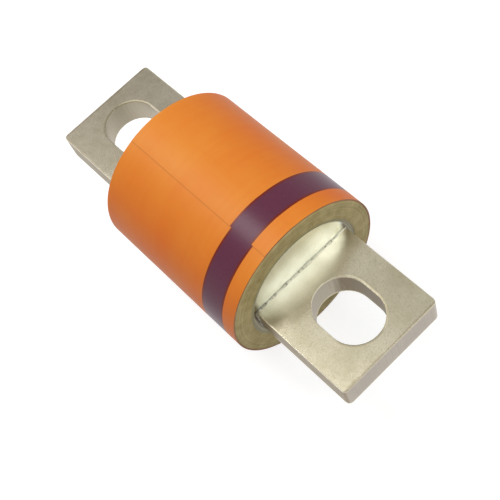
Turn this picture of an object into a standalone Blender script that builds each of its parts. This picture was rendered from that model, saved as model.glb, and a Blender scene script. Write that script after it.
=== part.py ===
"""High-speed bolt-down cartridge fuse: a glass-melamine tube with a slotted terminal blade at each end.

Metres, +Z up. The origin is the middle of the fuse. X runs along the tube towards the end with the
printed band, Y across the blades' width, and Z through their thickness.
"""

import math

import bmesh
import bpy
from mathutils import Matrix, Vector

# Tube, its bore sized to the plugs
TUBE_LENGTH = 0.0416
TUBE_WALL = 0.00452
TUBE_EDGE = 0.0003

# Wrap-round label: a printed sheet that laps over its own starting edge
LABEL_THICKNESS = 0.0002
LABEL_GLUE = 0.0001
LABEL_MARGIN = 0.0002
LABEL_LAP = 0.007
LABEL_RAMP = 0.0016
LABEL_SEAM_ANGLE = math.radians(108)
BAND_FROM_EDGE = 0.0036
BAND_WIDTH = 0.0064

# End plugs, a close fit in the tube, as wide as the blade's seat and the shoulder round it
PLUG_SHOULDER = 0.00125
PLUG_WEB = 0.0015
PLUG_RECESS = 0.0002
PLUG_FIT = 0.0002
PLUG_EDGE = 0.0003

# Terminal blades, each with a stepped tang in a milled seat across its plug
BLADE_WIDTH = 0.0254
BLADE_THICKNESS = 0.0068
BLADE_REACH = 0.0248
BLADE_STANDOFF = 0.0002
TANG_STEP = 0.0005
TANG_DEPTH = 0.006
TANG_FIT = 0.0002
BLADE_CORNER = 0.001
BLADE_EDGE = 0.0007

# Oblong bolt slots in the blades
SLOT_WIDTH = 0.0121
SLOT_LENGTH = 0.0158
SLOT_EDGE_DISTANCE = 0.0037

# Radial pins that lock the plugs in the tube, at the middle of each plug's length
PIN_COUNT = 4
PIN_DIAMETER = 0.003
PIN_DEPTH_IN_PLUG = 0.0035
PIN_SINK = 0.0002
PIN_FIT = 0.0002
PIN_CHAMFER = 0.0003

# Fuse elements: punched silver strips between grooves in the two plugs
ELEMENT_COUNT = 5
ELEMENT_PITCH = 0.0036
ELEMENT_BANK = 0.00425
ELEMENT_THICKNESS = 0.0004
ELEMENT_SEAT_DEPTH = 0.0015
ELEMENT_FIT = 0.0003
PERFORATION_ROW_PITCH = 0.0044
PERFORATION_DIAMETER = 0.0026
PERFORATION_PITCH = 0.004

# Sand between the plugs, and the hole it is poured through
SAND_FIT = 0.0003
FILL_HOLE_DIAMETER = 0.0032
FILL_HOLE_RIM = 0.002
FILL_PLUG_LENGTH = 0.003
FILL_PLUG_SINK = 0.0003
FILL_PLUG_FIT = 0.0002

# Fineness of the round forms
TURNED_STEPS = 96
HOLE_STEPS = 24
PERFORATION_STEPS = 12
ROUND_END_STEPS = 20
CORNER_STEPS = 3
CUT_OVERSHOOT = 0.002

TANG_WIDTH = BLADE_WIDTH - 2 * TANG_STEP
TANG_THICKNESS = BLADE_THICKNESS - 2 * TANG_STEP
SEAT_CORNER = math.hypot(TANG_WIDTH / 2 + TANG_FIT, TANG_THICKNESS / 2 + TANG_FIT)
PLUG_RADIUS = SEAT_CORNER + PLUG_SHOULDER
BORE_RADIUS = PLUG_RADIUS + PLUG_FIT
TUBE_RADIUS = BORE_RADIUS + TUBE_WALL
TUBE_END = TUBE_LENGTH / 2
PLUG_LENGTH = TANG_DEPTH + PLUG_WEB + ELEMENT_SEAT_DEPTH
PLUG_FACE = TUBE_END - PLUG_RECESS
PLUG_BACK = PLUG_FACE - PLUG_LENGTH
PLUG_MIDDLE = (PLUG_FACE + PLUG_BACK) / 2
BLADE_START = PLUG_FACE + BLADE_STANDOFF
BLADE_END = TUBE_END + BLADE_REACH
TANG_END = PLUG_FACE - TANG_DEPTH
GROOVE_BOTTOM = PLUG_BACK + ELEMENT_SEAT_DEPTH
SLOT_CENTRE = BLADE_END - SLOT_EDGE_DISTANCE - SLOT_LENGTH / 2
PIN_INNER = PLUG_RADIUS - PIN_DEPTH_IN_PLUG
OUTER_ELEMENT_HEIGHT = ELEMENT_PITCH * (ELEMENT_COUNT - 1) / 2
ELEMENT_HALF_WIDTH = math.sqrt(BORE_RADIUS**2 - OUTER_ELEMENT_HEIGHT**2) - ELEMENT_BANK
ELEMENT_HALF_LENGTH = GROOVE_BOTTOM - ELEMENT_FIT
FILL_HOLE_OFFSET = PLUG_RADIUS - FILL_HOLE_RIM - FILL_HOLE_DIAMETER / 2

ALONG_X = Matrix.Rotation(math.radians(90), 4, "Y")
ENDS = (("near", 1), ("far", -1))


def new_collection(name):
    collection = bpy.data.collections.new(name)
    bpy.context.scene.collection.children.link(collection)
    return collection


def material(name, colour, roughness, metallic=0.0):
    mat = bpy.data.materials.new(name)
    mat.use_nodes = True
    shader = mat.node_tree.nodes["Principled BSDF"]
    shader.inputs["Base Color"].default_value = (*colour, 1.0)
    shader.inputs["Roughness"].default_value = roughness
    shader.inputs["Metallic"].default_value = metallic
    return mat


def add_object(name, mesh, collection, mat=None):
    obj = bpy.data.objects.new(name, mesh)
    collection.objects.link(obj)
    if mat:
        mesh.materials.append(mat)
    return obj


def as_cutter(obj):
    obj.hide_render = True
    obj.display_type = "WIRE"
    return obj


def cut(obj, cutter, operation="DIFFERENCE"):
    boolean = obj.modifiers.new(operation.title() + " with " + cutter.name, "BOOLEAN")
    boolean.operation = operation
    boolean.object = cutter


def shade(obj, angle=35):
    obj.data.shade_smooth()
    obj.data.set_sharp_from_angle(angle=math.radians(angle))


def turned(name, profile, collection, mat):
    """A closed (radius, height) profile, outer side first and downwards, turned about X."""
    mesh = bpy.data.meshes.new(name)
    bm = bmesh.new()
    verts = [bm.verts.new((radius, 0, height)) for radius, height in profile]
    for start, end in zip(verts, verts[1:] + verts[:1]):
        bm.edges.new((start, end))
    bm.to_mesh(mesh)
    bm.free()
    obj = add_object(name, mesh, collection, mat)
    obj.matrix_world = ALONG_X
    screw = obj.modifiers.new("Turn", "SCREW")
    screw.steps = TURNED_STEPS
    screw.render_steps = TURNED_STEPS
    screw.use_merge_vertices = True
    screw.merge_threshold = 0.00001
    return obj


def disc(name, radius, length, edge, centre_x, collection, mat):
    """A solid turned disc with a small chamfer round both faces."""
    mesh = bpy.data.meshes.new(name)
    bm = bmesh.new()
    bmesh.ops.create_cone(
        bm, cap_ends=True, segments=TURNED_STEPS, radius1=radius, radius2=radius, depth=length
    )
    bm.to_mesh(mesh)
    bm.free()
    obj = add_object(name, mesh, collection, mat)
    obj.matrix_world = Matrix.Translation((centre_x, 0, 0)) @ ALONG_X
    if edge:
        bevel_edges(obj, edge, 1)
    return obj


def bevel_edges(obj, width, segments):
    bevel = obj.modifiers.new("Edge", "BEVEL")
    bevel.width = width
    bevel.segments = segments
    bevel.limit_method = "ANGLE"
    bevel.angle_limit = math.radians(50)


def boxes(name, places, size, collection):
    """One cutter made of equal boxes at the given centres."""
    mesh = bpy.data.meshes.new(name)
    bm = bmesh.new()
    for place in places:
        bmesh.ops.create_cube(bm, size=1, matrix=Matrix.Translation(place) @ Matrix.Diagonal((*size, 1)))
    bm.to_mesh(mesh)
    bm.free()
    return as_cutter(add_object(name, mesh, collection))


def arc(centre, radius, start, sweep, steps):
    """Points on an arc, both ends included, in the XY plane."""
    angles = [start + sweep * step / steps for step in range(steps + 1)]
    return [(centre[0] + radius * math.cos(a), centre[1] + radius * math.sin(a)) for a in angles]


def oblong(centre_x, length, width):
    """A slot outline with round ends, its long side along X."""
    reach = (length - width) / 2
    near_end = arc((centre_x + reach, 0), width / 2, -math.pi / 2, math.pi, ROUND_END_STEPS)
    far_end = arc((centre_x - reach, 0), width / 2, math.pi / 2, math.pi, ROUND_END_STEPS)
    return near_end + far_end


def plate(name, outlines, thickness, collection, mat):
    """A flat plate cut to the first outline and pierced by the others."""
    curve = bpy.data.curves.new(name, "CURVE")
    curve.dimensions = "2D"
    curve.fill_mode = "BOTH"
    curve.extrude = thickness / 2
    for outline in outlines:
        spline = curve.splines.new("POLY")
        spline.points.add(len(outline) - 1)
        for point, (x, y) in zip(spline.points, outline):
            point.co = (x, y, 0, 1)
        spline.use_cyclic_u = True
    source = add_object(name + "_outline", curve, collection)
    evaluated = source.evaluated_get(bpy.context.evaluated_depsgraph_get())
    mesh = bpy.data.meshes.new_from_object(evaluated)
    bpy.data.objects.remove(source)
    bm = bmesh.new()
    bm.from_mesh(mesh)
    bmesh.ops.remove_doubles(bm, verts=bm.verts, dist=0.000001)
    bmesh.ops.recalc_face_normals(bm, faces=bm.faces)
    bm.to_mesh(mesh)
    bm.free()
    mesh.name = name
    mesh.materials.clear()
    return add_object(name, mesh, collection, mat)


def pin_directions():
    """Evenly spread directions across the axis, none of them through the edge of a blade."""
    for number in range(PIN_COUNT):
        angle = math.tau * (number + 0.5) / PIN_COUNT
        yield number + 1, Vector((0, math.cos(angle), math.sin(angle)))


def pin_matrix(x, direction, inner, length):
    """Stands a cylinder of this length on the radius, its inner end at the given distance."""
    middle = Vector((x, 0, 0)) + direction * (inner + length / 2)
    return Matrix.Translation(middle) @ direction.to_track_quat("Z", "Y").to_matrix().to_4x4()


def pin_hole_cutter(side_name, side, collection):
    """The pin holes of one end: through the tube's wall and blind in the plug."""
    mesh = bpy.data.meshes.new("pin_holes_" + side_name)
    bm = bmesh.new()
    inner = PIN_INNER - PIN_FIT
    length = TUBE_RADIUS + CUT_OVERSHOOT - inner
    radius = PIN_DIAMETER / 2 + PIN_FIT
    for _, direction in pin_directions():
        bmesh.ops.create_cone(
            bm,
            cap_ends=True,
            segments=HOLE_STEPS,
            radius1=radius,
            radius2=radius,
            depth=length,
            matrix=pin_matrix(side * PLUG_MIDDLE, direction, inner, length),
        )
    bm.to_mesh(mesh)
    bm.free()
    return as_cutter(add_object(mesh.name, mesh, collection))


def make_tube(parts, cutters, mat):
    outer = [
        (TUBE_RADIUS - TUBE_EDGE, TUBE_END),
        (TUBE_RADIUS, TUBE_END - TUBE_EDGE),
        (TUBE_RADIUS, -TUBE_END + TUBE_EDGE),
        (TUBE_RADIUS - TUBE_EDGE, -TUBE_END),
    ]
    bore = [
        (BORE_RADIUS + TUBE_EDGE, -TUBE_END),
        (BORE_RADIUS, -TUBE_END + TUBE_EDGE),
        (BORE_RADIUS, TUBE_END - TUBE_EDGE),
        (BORE_RADIUS + TUBE_EDGE, TUBE_END),
    ]
    tube = turned("body_tube", outer + bore, parts, mat)
    for holes in cutters:
        cut(tube, holes)
    shade(tube)


def label_outline():
    """The wrapped sheet seen along the tube: one full turn, a ramp, then the lap on top of it."""
    middle = TUBE_RADIUS + LABEL_GLUE + LABEL_THICKNESS / 2
    lapped = middle + LABEL_THICKNESS + LABEL_GLUE
    ramp = LABEL_RAMP / middle
    lap = LABEL_LAP / lapped
    step = math.tau / TURNED_STEPS
    turn = [(middle, step * count) for count in range(TURNED_STEPS - math.ceil(ramp / step) + 1)]
    lap_steps = math.ceil(lap / step)
    over = [(lapped, math.tau + lap * count / lap_steps) for count in range(lap_steps + 1)]
    return [(radius, LABEL_SEAM_ANGLE - lap + angle) for radius, angle in turn + over]


def make_label(parts, mat, band_mat):
    """The sheet's outline swept along the tube, split at the band's edges and given its thickness."""
    length = TUBE_LENGTH - 2 * LABEL_MARGIN
    band_end = length / 2 - BAND_FROM_EDGE
    band_start = band_end - BAND_WIDTH
    mesh = bpy.data.meshes.new("wrap_label")
    bm = bmesh.new()
    row = [
        bm.verts.new((-length / 2, radius * math.cos(angle), radius * math.sin(angle)))
        for radius, angle in label_outline()
    ]
    edges = [bm.edges.new(pair) for pair in zip(row, row[1:])]
    swept = bmesh.ops.extrude_edge_only(bm, edges=edges)["geom"]
    moved = [item for item in swept if isinstance(item, bmesh.types.BMVert)]
    bmesh.ops.translate(bm, verts=moved, vec=(length, 0, 0))
    for x in (band_start, band_end):
        bmesh.ops.bisect_plane(
            bm,
            geom=bm.verts[:] + bm.edges[:] + bm.faces[:],
            dist=0.000001,
            plane_co=(x, 0, 0),
            plane_no=(1, 0, 0),
        )
    bm.normal_update()
    for face in bm.faces:
        middle = face.calc_center_median()
        face.material_index = int(band_start < middle.x < band_end)
        if face.normal.dot(Vector((0, middle.y, middle.z))) < 0:
            face.normal_flip()
    bm.to_mesh(mesh)
    bm.free()
    label = add_object("wrap_label", mesh, parts, mat)
    mesh.materials.append(band_mat)
    solidify = label.modifiers.new("Sheet", "SOLIDIFY")
    solidify.thickness = LABEL_THICKNESS
    solidify.offset = 0
    shade(label)


def make_plug(side_name, side, pin_holes, parts, cutters, mat):
    """A turned plug with the blade's seat, the elements' grooves and the pins' blind holes."""
    name = "end_plug_" + side_name
    plug = disc(name, PLUG_RADIUS, PLUG_LENGTH, PLUG_EDGE, side * PLUG_MIDDLE, parts, mat)
    seat_length = TANG_DEPTH + TANG_FIT + CUT_OVERSHOOT
    seat_x = side * (TANG_END - TANG_FIT + seat_length / 2)
    seat_size = (seat_length, TANG_WIDTH + 2 * TANG_FIT, TANG_THICKNESS + 2 * TANG_FIT)
    cut(plug, boxes("tang_seat_" + side_name, [(seat_x, 0, 0)], seat_size, cutters))
    groove_length = ELEMENT_SEAT_DEPTH + CUT_OVERSHOOT
    groove_x = side * (GROOVE_BOTTOM - groove_length / 2)
    groove_size = (
        groove_length,
        2 * (ELEMENT_HALF_WIDTH + ELEMENT_FIT),
        ELEMENT_THICKNESS + 2 * ELEMENT_FIT,
    )
    places = [(groove_x, 0, height) for height in element_heights()]
    cut(plug, boxes("element_grooves_" + side_name, places, groove_size, cutters))
    cut(plug, pin_holes)
    shade(plug)
    return plug


def make_fill_hole(plug, side, parts, cutters, mat):
    """The filling hole below the far blade, and the small plug that closes it."""
    centre = Vector((side * PLUG_MIDDLE, 0, -FILL_HOLE_OFFSET))
    length = PLUG_LENGTH + 2 * CUT_OVERSHOOT
    mesh = bpy.data.meshes.new("fill_hole")
    bm = bmesh.new()
    radius = FILL_HOLE_DIAMETER / 2
    bmesh.ops.create_cone(
        bm, cap_ends=True, segments=HOLE_STEPS, radius1=radius, radius2=radius, depth=length
    )
    bm.to_mesh(mesh)
    bm.free()
    hole = as_cutter(add_object("fill_hole", mesh, cutters))
    hole.matrix_world = Matrix.Translation(centre) @ ALONG_X
    cut(plug, hole)

    mesh = bpy.data.meshes.new("fill_hole_plug")
    bm = bmesh.new()
    radius = FILL_HOLE_DIAMETER / 2 - FILL_PLUG_FIT
    bmesh.ops.create_cone(
        bm, cap_ends=True, segments=HOLE_STEPS, radius1=radius, radius2=radius, depth=FILL_PLUG_LENGTH
    )
    bm.to_mesh(mesh)
    bm.free()
    closer = add_object("fill_hole_plug", mesh, parts, mat)
    centre.x = side * (PLUG_FACE - FILL_PLUG_SINK - FILL_PLUG_LENGTH / 2)
    closer.matrix_world = Matrix.Translation(centre) @ ALONG_X
    bevel_edges(closer, PIN_CHAMFER, 1)
    shade(closer)


def make_blade(side_name, side, parts, cutters, mat):
    """A flat bar with rounded outer corners and the bolt slot, and its tang down into the plug."""
    half_width = BLADE_WIDTH / 2
    corner_x = BLADE_END - BLADE_CORNER
    corner_y = half_width - BLADE_CORNER
    lower = arc((corner_x, -corner_y), BLADE_CORNER, -math.pi / 2, math.pi / 2, CORNER_STEPS)
    upper = arc((corner_x, corner_y), BLADE_CORNER, 0, math.pi / 2, CORNER_STEPS)
    behind = BLADE_START - CUT_OVERSHOOT
    bar = [(behind, -half_width)] + lower + upper + [(behind, half_width)]
    slot = oblong(SLOT_CENTRE, SLOT_LENGTH, SLOT_WIDTH)
    blade = plate("terminal_blade_" + side_name, [bar, slot], BLADE_THICKNESS, parts, mat)
    if side < 0:
        blade.matrix_world = Matrix.Rotation(math.pi, 4, "Z")
    bevel_edges(blade, BLADE_EDGE, 3)
    sawn_off = (2 * CUT_OVERSHOOT, 2 * BLADE_WIDTH, 2 * BLADE_THICKNESS)
    cut(blade, boxes("root_" + side_name, [(side * behind, 0, 0)], sawn_off, cutters))
    root = BLADE_START + CUT_OVERSHOOT
    tang_size = (root - TANG_END, TANG_WIDTH, TANG_THICKNESS)
    tang = boxes("tang_" + side_name, [(side * (root + TANG_END) / 2, 0, 0)], tang_size, cutters)
    cut(blade, tang, "UNION")
    shade(blade)


def make_pins(side_name, side, parts, mat):
    """Drive pins from just under the tube's surface to the bottom of the plug's holes."""
    length = TUBE_RADIUS - PIN_SINK - PIN_INNER
    radius = PIN_DIAMETER / 2
    mesh = bpy.data.meshes.new("lock_pin_" + side_name)
    bm = bmesh.new()
    bmesh.ops.create_cone(
        bm, cap_ends=True, segments=HOLE_STEPS, radius1=radius, radius2=radius, depth=length
    )
    bm.to_mesh(mesh)
    bm.free()
    mesh.materials.append(mat)
    for number, direction in pin_directions():
        pin = add_object("lock_pin_%s_%d" % (side_name, number), mesh, parts)
        pin.matrix_world = pin_matrix(side * PLUG_MIDDLE, direction, PIN_INNER, length)
        bevel_edges(pin, PIN_CHAMFER, 1)
        shade(pin)


def element_heights():
    """Heights of the strips, spread evenly about the axis."""
    return [number * ELEMENT_PITCH - OUTER_ELEMENT_HEIGHT for number in range(ELEMENT_COUNT)]


def element_outlines():
    """A strip with half-round notches on both edges, in line with rows of round holes."""
    radius = PERFORATION_DIAMETER / 2
    count = int(2 * PLUG_BACK / PERFORATION_ROW_PITCH)
    rows = [(row - (count - 1) / 2) * PERFORATION_ROW_PITCH for row in range(count)]
    necks = round(2 * ELEMENT_HALF_WIDTH / PERFORATION_PITCH)
    spacing = 2 * ELEMENT_HALF_WIDTH / necks
    half_steps = PERFORATION_STEPS // 2
    edge = [(-ELEMENT_HALF_LENGTH, -ELEMENT_HALF_WIDTH)]
    for x in rows:
        edge += arc((x, -ELEMENT_HALF_WIDTH), radius, math.pi, -math.pi, half_steps)
    edge.append((ELEMENT_HALF_LENGTH, -ELEMENT_HALF_WIDTH))
    outline = edge + [(-x, -y) for x, y in edge]
    holes = []
    for x in rows:
        for place in range(1, necks):
            centre = (x, place * spacing - ELEMENT_HALF_WIDTH)
            holes.append(arc(centre, radius, 0, math.tau, PERFORATION_STEPS)[:-1])
    return [outline] + holes


def make_elements(parts, mat):
    for number, height in enumerate(element_heights(), start=1):
        name = "fuse_element_%d" % number
        element = plate(name, element_outlines(), ELEMENT_THICKNESS, parts, mat)
        element.location.z = height


def make_sand(parts, cutters, mat):
    """The packed sand between the plugs, with a passage for each strip."""
    length = 2 * (PLUG_BACK - SAND_FIT)
    sand = disc("sand_filler", BORE_RADIUS - SAND_FIT, length, 0, 0, parts, mat)
    size = (
        length + 2 * CUT_OVERSHOOT,
        2 * (ELEMENT_HALF_WIDTH + ELEMENT_FIT),
        ELEMENT_THICKNESS + 2 * ELEMENT_FIT,
    )
    places = [(0, 0, height) for height in element_heights()]
    cut(sand, boxes("element_passages", places, size, cutters))
    shade(sand)


def main():
    for obj in list(bpy.data.objects):
        bpy.data.objects.remove(obj)
    parts = new_collection("bolt_down_fuse")
    cutters = new_collection("cutters")

    melamine = material("glass_melamine", (0.24, 0.22, 0.09), 0.45)
    label_print = material("label_orange", (0.78, 0.25, 0.045), 0.35)
    band_print = material("label_band", (0.085, 0.03, 0.065), 0.3)
    tinned = material("tinned_copper", (0.55, 0.52, 0.43), 0.35, 1.0)
    plated = material("plated_brass", (0.75, 0.72, 0.58), 0.3, 1.0)
    steel = material("pin_steel", (0.4, 0.4, 0.42), 0.35, 1.0)
    silver = material("element_silver", (0.85, 0.84, 0.8), 0.25, 1.0)
    quartz = material("quartz_sand", (0.62, 0.56, 0.45), 0.9)

    pin_holes = {name: pin_hole_cutter(name, side, cutters) for name, side in ENDS}
    make_tube(parts, pin_holes.values(), melamine)
    make_label(parts, label_print, band_print)
    plugs = {}
    for name, side in ENDS:
        plugs[name] = make_plug(name, side, pin_holes[name], parts, cutters, plated)
        make_blade(name, side, parts, cutters, tinned)
        make_pins(name, side, parts, steel)
    make_fill_hole(plugs["far"], -1, parts, cutters, steel)
    make_elements(parts, silver)
    make_sand(parts, cutters, quartz)


main()
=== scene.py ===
import math

import bmesh
import bpy
from mathutils import Matrix, Vector, noise


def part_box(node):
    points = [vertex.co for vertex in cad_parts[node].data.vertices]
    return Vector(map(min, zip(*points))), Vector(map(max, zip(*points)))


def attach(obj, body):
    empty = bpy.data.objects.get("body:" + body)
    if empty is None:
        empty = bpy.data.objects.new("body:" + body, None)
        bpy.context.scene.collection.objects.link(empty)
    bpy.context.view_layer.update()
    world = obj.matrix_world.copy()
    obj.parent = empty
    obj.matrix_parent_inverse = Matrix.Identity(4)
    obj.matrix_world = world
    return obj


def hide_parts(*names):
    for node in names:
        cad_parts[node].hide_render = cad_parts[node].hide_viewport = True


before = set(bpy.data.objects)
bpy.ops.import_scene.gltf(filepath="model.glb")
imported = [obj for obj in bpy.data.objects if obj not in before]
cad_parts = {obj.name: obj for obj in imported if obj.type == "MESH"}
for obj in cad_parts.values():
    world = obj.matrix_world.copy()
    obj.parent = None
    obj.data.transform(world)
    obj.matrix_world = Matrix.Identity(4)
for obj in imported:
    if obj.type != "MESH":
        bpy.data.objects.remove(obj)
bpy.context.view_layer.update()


# Body tube. A thick cylinder of glass cloth rolled up in melamine resin, cured and sawn to length.
# Only its two sawn end rings show. It carries the plugs, and holds the sand in when an element melts.
TUBE_PALE = "#DBCA8E"
TUBE_DARK = "#B5A064"
FIBRE_PALE = "#DDD3A8"
PLY = 0.0004
CURE_PATCH = 0.0035
FIBRE_TUFT = 0.0005
SAWN_DEPTH = 0.00005


def linear(colour):
    """An sRGB hex colour as the linear values that a shader takes."""
    levels = [int(colour[at:at + 2], 16) / 255 for at in (1, 3, 5)]
    return [c / 12.92 if c <= 0.04045 else ((c + 0.055) / 1.055) ** 2.4 for c in levels] + [1]


def add(tree, kind, inputs=None, **settings):
    """Adds a node. Its inputs are given by name or number, each as a value, a hex colour or an output.

    MapRange takes its value as 0, the range that comes in as 1 and 2, and the range that goes out as 3
    and 4. Mix takes its factor as 0, and then two numbers as 2 and 3 or two colours as 6 and 7.
    """
    node = tree.nodes.new("ShaderNode" + kind)
    for name, value in settings.items():
        setattr(node, name, value)
    for name, value in (inputs or {}).items():
        if isinstance(value, bpy.types.NodeSocket):
            tree.links.new(value, node.inputs[name])
        else:
            node.inputs[name].default_value = linear(value) if isinstance(value, str) else value
    return node


def new_finish(name):
    """A bare material with its node tree and the tree's Object coordinates, in metres."""
    finish = bpy.data.materials.new(name)
    finish.use_nodes = True
    finish.node_tree.nodes.clear()
    place = add(finish.node_tree, "TexCoord").outputs["Object"]
    return finish, finish.node_tree, place


def from_axis(tree, place):
    """How far a point is from the tube's axis."""
    across = add(tree, "Mapping", {"Vector": place, "Scale": (0, 1, 1)}).outputs[0]
    return add(tree, "VectorMath", {0: across}, operation="LENGTH").outputs["Value"]


def surface(tree, **inputs):
    """Closes a tree with the shader that the finish is made of."""
    shader = add(tree, "BsdfPrincipled", {name.replace("_", " "): value for name, value in inputs.items()})
    add(tree, "OutputMaterial", {"Surface": shader.outputs[0]})


# Glass-cloth melamine laminate, sawn: plies show as fine rings, with pale tufts of cut glass between them.
# The plies are drawn about twice as thick as real ones, so that they show.
laminate, tree, place = new_finish("sawn_melamine_laminate")
radius = from_axis(tree, place)
plies = add(tree, "TexNoise", {"W": radius, "Scale": 1 / PLY, "Detail": 1}, noise_dimensions="1D").outputs[0]
patches = add(tree, "TexNoise", {"Vector": place, "Scale": 1 / CURE_PATCH, "Detail": 3}).outputs[0]
tufts = add(tree, "TexNoise", {"Vector": place, "Scale": 1 / FIBRE_TUFT, "Detail": 2}).outputs[0]
depth = add(tree, "Math", {0: plies, 1: 0.4, 2: patches}, operation="MULTIPLY_ADD").outputs[0]
shade = add(tree, "MapRange", {0: depth, 1: 0.5, 2: 0.9}).outputs[0]
resin = add(tree, "Mix", {0: shade, 6: TUBE_DARK, 7: TUBE_PALE}, data_type="RGBA").outputs[2]
glass = add(tree, "MapRange", {0: tufts, 1: 0.58, 2: 0.75, 4: 0.7}).outputs[0]
tone = add(tree, "Mix", {0: glass, 6: resin, 7: FIBRE_PALE}, data_type="RGBA").outputs[2]
rough = add(tree, "MapRange", {0: tufts, 1: 0.3, 2: 0.7, 3: 0.5, 4: 0.68}).outputs[0]
relief = add(tree, "Bump", {"Height": depth, "Distance": SAWN_DEPTH, "Strength": 0.6}).outputs[0]
surface(tree, Base_Color=tone, Roughness=rough, Normal=relief)
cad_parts["body_tube"].material_slots[0].material = laminate


# End plugs. Brass discs turned on a lathe, plated bright, pressed into the tube and pinned there.
# Their faces show above and below each blade, with the fine rings that the turning tool leaves.
# A thin line of resin has squeezed out round each plug, and round the plug of the filling hole.
PLATING = "#E8F1F2"
PLATING_DULL = "#E0E7E3"
PLATING_SPECK = "#8F8B70"
PLATING_SHADE = "#A3A291"
PLUG_RIM_SHADE = "#A29E82"
SEAT_SHADE_AND_FLUX = "#6A6250"
TURNING_PITCH = 0.0004
TURNING_DEPTH = 0.000005
HAZE_PATCH = 0.003
SPECK_SIZE = 0.0005
RIM_WIDTH = 0.0006
PLUG_SHADE_FROM = 0.005
PLUG_SHADE_FULL = 0.013
BESIDE_SEAT_FROM = 0.0014
BESIDE_SEAT_FULL = 0.0004
BESIDE_SEAT_TOP = 0.0085
BESIDE_SEAT_LOW = 0.0055
FLUX_CREEP = 0.0004
blade_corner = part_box("terminal_blade_near")[1]
plug_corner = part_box("end_plug_near")[1]

# Bright plated brass, turned: faint rings drawn four times coarser than the tool's feed, so that they show.
# It is clean beside the blade and painted darker further out, towards its top and bottom, as shade. Beside
# the blade's sides it is painted dark as shade, and a thin dark line runs along the seat.
plated, tree, place = new_finish("plated_turned_brass")
radius = from_axis(tree, place)
rings = add(
    tree, "TexNoise", {"W": radius, "Scale": 1 / TURNING_PITCH, "Detail": 2}, noise_dimensions="1D"
).outputs[0]
haze = add(tree, "TexNoise", {"Vector": place, "Scale": 1 / HAZE_PATCH, "Detail": 4}).outputs[0]
specks = add(tree, "TexNoise", {"Vector": place, "Scale": 1 / SPECK_SIZE, "Detail": 1}).outputs[0]
dull = add(tree, "MapRange", {0: haze, 1: 0.4, 2: 0.7}).outputs[0]
clouded = add(tree, "Mix", {0: dull, 6: PLATING, 7: PLATING_DULL}, data_type="RGBA").outputs[2]
marks = add(tree, "MapRange", {0: specks, 1: 0.68, 2: 0.78, 4: 0.3}).outputs[0]
specked = add(tree, "Mix", {0: marks, 6: clouded, 7: PLATING_SPECK}, data_type="RGBA").outputs[2]
sides = add(tree, "SeparateXYZ", {0: place}).outputs
sideways = add(tree, "Math", {0: sides["Y"]}, operation="ABSOLUTE").outputs[0]
upwards = add(tree, "Math", {0: sides["Z"]}, operation="ABSOLUTE").outputs[0]
# Painted shade: the plating darkens towards the plug's top and bottom, away from the blade.
plug_shade_out = add(
    tree, "MapRange", {0: upwards, 1: PLUG_SHADE_FROM, 2: PLUG_SHADE_FULL, 4: 0.95}, interpolation_type="SMOOTHSTEP"
).outputs[0]
plating_shaded = add(tree, "Mix", {0: plug_shade_out, 6: specked, 7: PLATING_SHADE}, data_type="RGBA").outputs[2]
# Painted shade on the plug's face beside the blade's sides, and a thin dark line along the seat above the
# blade.
seat_end_from = blade_corner.y - BESIDE_SEAT_FROM
seat_end_full = blade_corner.y - BESIDE_SEAT_FULL
past_seat = add(tree, "MapRange", {0: sideways, 1: seat_end_from, 2: seat_end_full}).outputs[0]
by_seat = add(tree, "MapRange", {0: upwards, 1: BESIDE_SEAT_TOP, 2: BESIDE_SEAT_LOW}).outputs[0]
shade_beside_seat = add(tree, "Math", {0: past_seat, 1: by_seat}, operation="MULTIPLY").outputs[0]
above = add(tree, "Math", {0: upwards, 1: blade_corner.z}, operation="SUBTRACT").outputs[0]
creep = add(
    tree, "MapRange", {0: haze, 1: 0.45, 2: 0.6, 3: -FLUX_CREEP / 2, 4: FLUX_CREEP}
).outputs[0]
spread = add(tree, "Math", {0: creep, 1: above}, operation="SUBTRACT").outputs[0]
crept = add(tree, "MapRange", {0: spread, 1: 0, 2: FLUX_CREEP / 2, 4: 0.35}).outputs[0]
shade_and_flux = add(tree, "Math", {0: shade_beside_seat, 1: crept}, operation="MAXIMUM").outputs[0]
seat_shaded = add(tree, "Mix", {0: shade_and_flux, 6: plating_shaded, 7: SEAT_SHADE_AND_FLUX}, data_type="RGBA").outputs[2]
# Painted shade: the plug's rim is darkened, which dims the highlight on its edge.
rim_from = plug_corner.y - RIM_WIDTH
rim_full = plug_corner.y - RIM_WIDTH / 3
at_rim = add(tree, "MapRange", {0: radius, 1: rim_from, 2: rim_full}).outputs[0]
tone = add(tree, "Mix", {0: at_rim, 6: seat_shaded, 7: PLUG_RIM_SHADE}, data_type="RGBA").outputs[2]
rough = add(tree, "MapRange", {0: haze, 1: 0.3, 2: 0.7, 3: 0.2, 4: 0.25}).outputs[0]
relief = add(tree, "Bump", {"Height": rings, "Distance": TURNING_DEPTH, "Strength": 0.4}).outputs[0]
surface(tree, Base_Color=tone, Metallic=1.0, Roughness=rough, Normal=relief)
for end in ("near", "far"):
    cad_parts["end_plug_" + end].material_slots[0].material = plated

# Cured melamine resin: olive, slightly cloudy, with the soft shine of a skin that set in the air.
RESIN = "#A8A079"
RESIN_PALE = "#BDB692"
RESIN_CLOUD = 0.002
resin, tree, place = new_finish("cured_melamine_resin")
haze = add(tree, "TexNoise", {"Vector": place, "Scale": 1 / RESIN_CLOUD, "Detail": 3}).outputs[0]
tone = add(tree, "Mix", {0: haze, 6: RESIN, 7: RESIN_PALE}, data_type="RGBA").outputs[2]
rough = add(tree, "MapRange", {0: haze, 1: 0.3, 2: 0.7, 3: 0.35, 4: 0.5}).outputs[0]
surface(tree, Base_Color=tone, Roughness=rough)

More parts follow.
